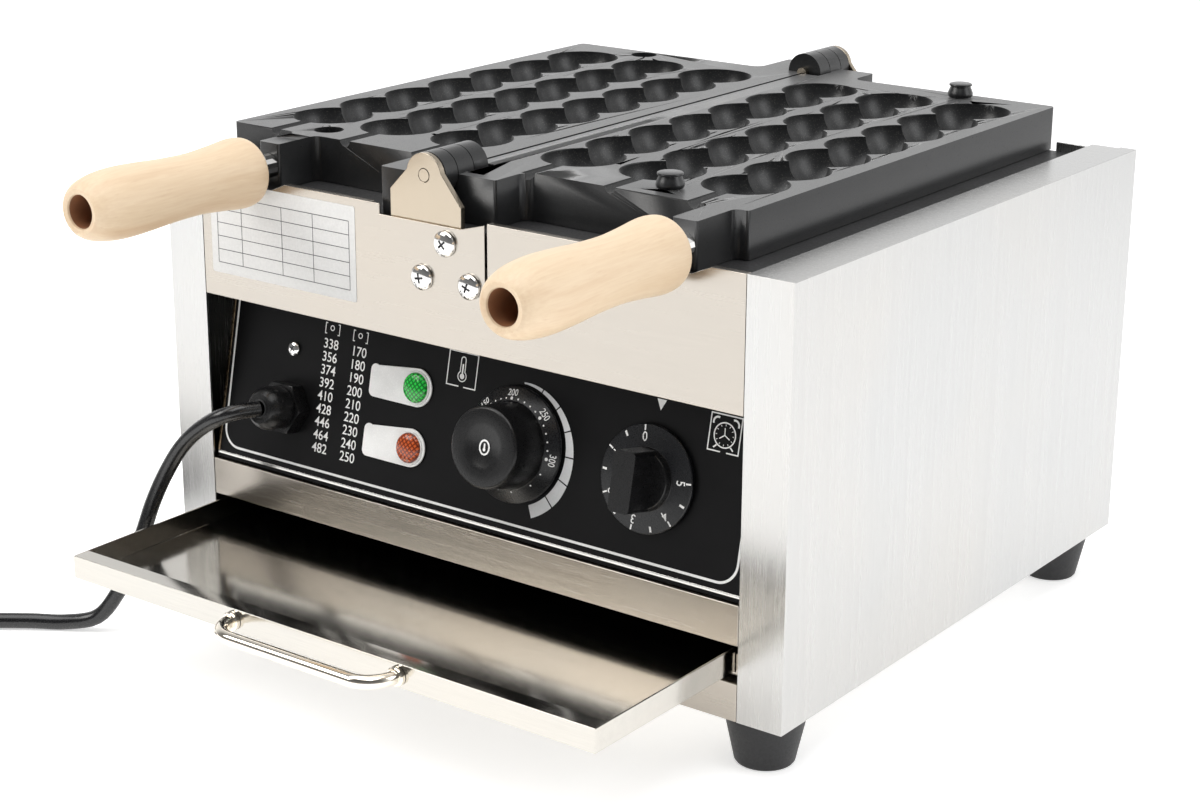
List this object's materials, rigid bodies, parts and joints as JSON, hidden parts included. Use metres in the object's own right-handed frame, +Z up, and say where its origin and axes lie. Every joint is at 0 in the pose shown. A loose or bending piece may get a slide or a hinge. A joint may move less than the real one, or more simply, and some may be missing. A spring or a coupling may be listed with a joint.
{
  "type": "waffle maker",
  "caption": "Countertop ball-waffle baker with fold-over cast plates full of round cavities, wooden handles, tilted control panel, sliding drip tray, mains cord and rubber feet.",
  "frame": {"origin": "centre of the footprint, from the tray's pull to the rear hinge bracket, on the surface that the feet stand on; the cord, its coil and its plug are not counted", "axes": "+Z up, -Y toward the front with the control panel, +X to the right seen from the front"},
  "size_m": [0.6646, 0.5217, 0.2596],
  "materials": {
    "stainless": "brushed stainless sheet",
    "dark_enamel": "heat-proof dark enamel, satin",
    "element_sheath": "oxidised steel sheath",
    "plated_steel": "bright plating",
    "coated_casting": "cast aluminium with a satin black non-stick coat",
    "beech": "turned beech, clear satin lacquer",
    "panel_black": "black printed panel film on sheet, satin",
    "lamp_plate": "smooth pale plastic",
    "green_lens": "clear tinted plastic",
    "amber_lens": "clear tinted plastic",
    "control_unit": "moulded housing",
    "black_plastic": "moulded black, semi-matt",
    "cord_rubber": "smooth glossy black sheath",
    "chrome": "polished chrome",
    "foot_rubber": "moulded matt rubber"
  },
  "bodies": {
    "case": {"left_side_panel": "stainless", "right_side_panel": "stainless", "back_panel": "stainless", "base_pan": "stainless", "front_upper_band": "stainless", "lower_front_rail": "stainless", "bottom_front_rail": "stainless", "heater_pan": "dark_enamel", "heating_element_left": "element_sheath", "heating_element_right": "element_sheath", "hinge_bracket_front": "stainless", "hinge_bracket_rear": "stainless", "bracket_screw_front_1": "plated_steel", "bracket_screw_front_2": "plated_steel", "bracket_screw_front_3": "plated_steel", "bracket_screw_rear_1": "plated_steel", "bracket_screw_rear_2": "plated_steel", "bracket_screw_rear_3": "plated_steel", "hinge_pin_front": "plated_steel", "hinge_pin_rear": "plated_steel", "control_panel": "panel_black", "panel_screw": "plated_steel", "power_lamp_plate": "lamp_plate", "power_lamp_lens": "green_lens", "heat_lamp_plate": "lamp_plate", "heat_lamp_lens": "amber_lens", "thermostat_unit": "control_unit", "timer_unit": "control_unit", "gland_body": "black_plastic", "gland_dome_nut": "black_plastic", "power_cord": "cord_rubber", "cord_coil": "cord_rubber", "mains_plug": "cord_rubber", "tray_runner_left": "stainless", "tray_runner_right": "stainless", "foot_front_left": "foot_rubber", "foot_front_right": "foot_rubber", "foot_rear_left": "foot_rubber", "foot_rear_right": "foot_rubber", "foot_bolt_front_left": "plated_steel", "foot_bolt_front_right": "plated_steel", "foot_bolt_rear_left": "plated_steel", "foot_bolt_rear_right": "plated_steel"},
    "left_plate": {"left_plate": "coated_casting", "handle_left": "beech", "handle_bolt_left": "plated_steel", "handle_nut_left": "plated_steel"},
    "right_plate": {"right_plate": "coated_casting", "dowel_front": "coated_casting", "dowel_rear": "coated_casting", "handle_right": "beech", "handle_bolt_right": "plated_steel", "handle_nut_right": "plated_steel"},
    "drip_tray": {"drip_tray": "stainless", "tray_pull": "chrome"},
    "temperature_knob": {"temperature_knob": "black_plastic", "thermostat_spindle": "plated_steel"},
    "timer_knob": {"timer_knob": "black_plastic", "timer_spindle": "plated_steel"}
  },
  "joints": [
    {"name": "left_plate_hinge", "type": "hinge", "parent": "case", "child": "left_plate", "pos_m": [-0.0173, 0, 0.2491], "axis": [0, 1, 0], "range_deg": [0, 180]},
    {"name": "right_plate_hinge", "type": "hinge", "parent": "case", "child": "right_plate", "pos_m": [-0.0173, 0, 0.2491], "axis": [0, -1, 0], "range_deg": [0, 180]},
    {"name": "tray_slide", "type": "slide", "parent": "case", "child": "drip_tray", "axis": [0, 1, 0], "range_m": [-0.12, 0.099]},
    {"name": "temperature_turn", "type": "hinge", "parent": "case", "child": "temperature_knob", "pos_m": [0.028, -0.11026, 0.12557], "axis": [0, -0.9781, 0.2079], "range_deg": [-270, 0]},
    {"name": "timer_turn", "type": "hinge", "parent": "case", "child": "timer_knob", "pos_m": [0.1045, -0.11026, 0.12557], "axis": [0, -0.9781, 0.2079], "range_deg": [-270, 0]}
  ]
}
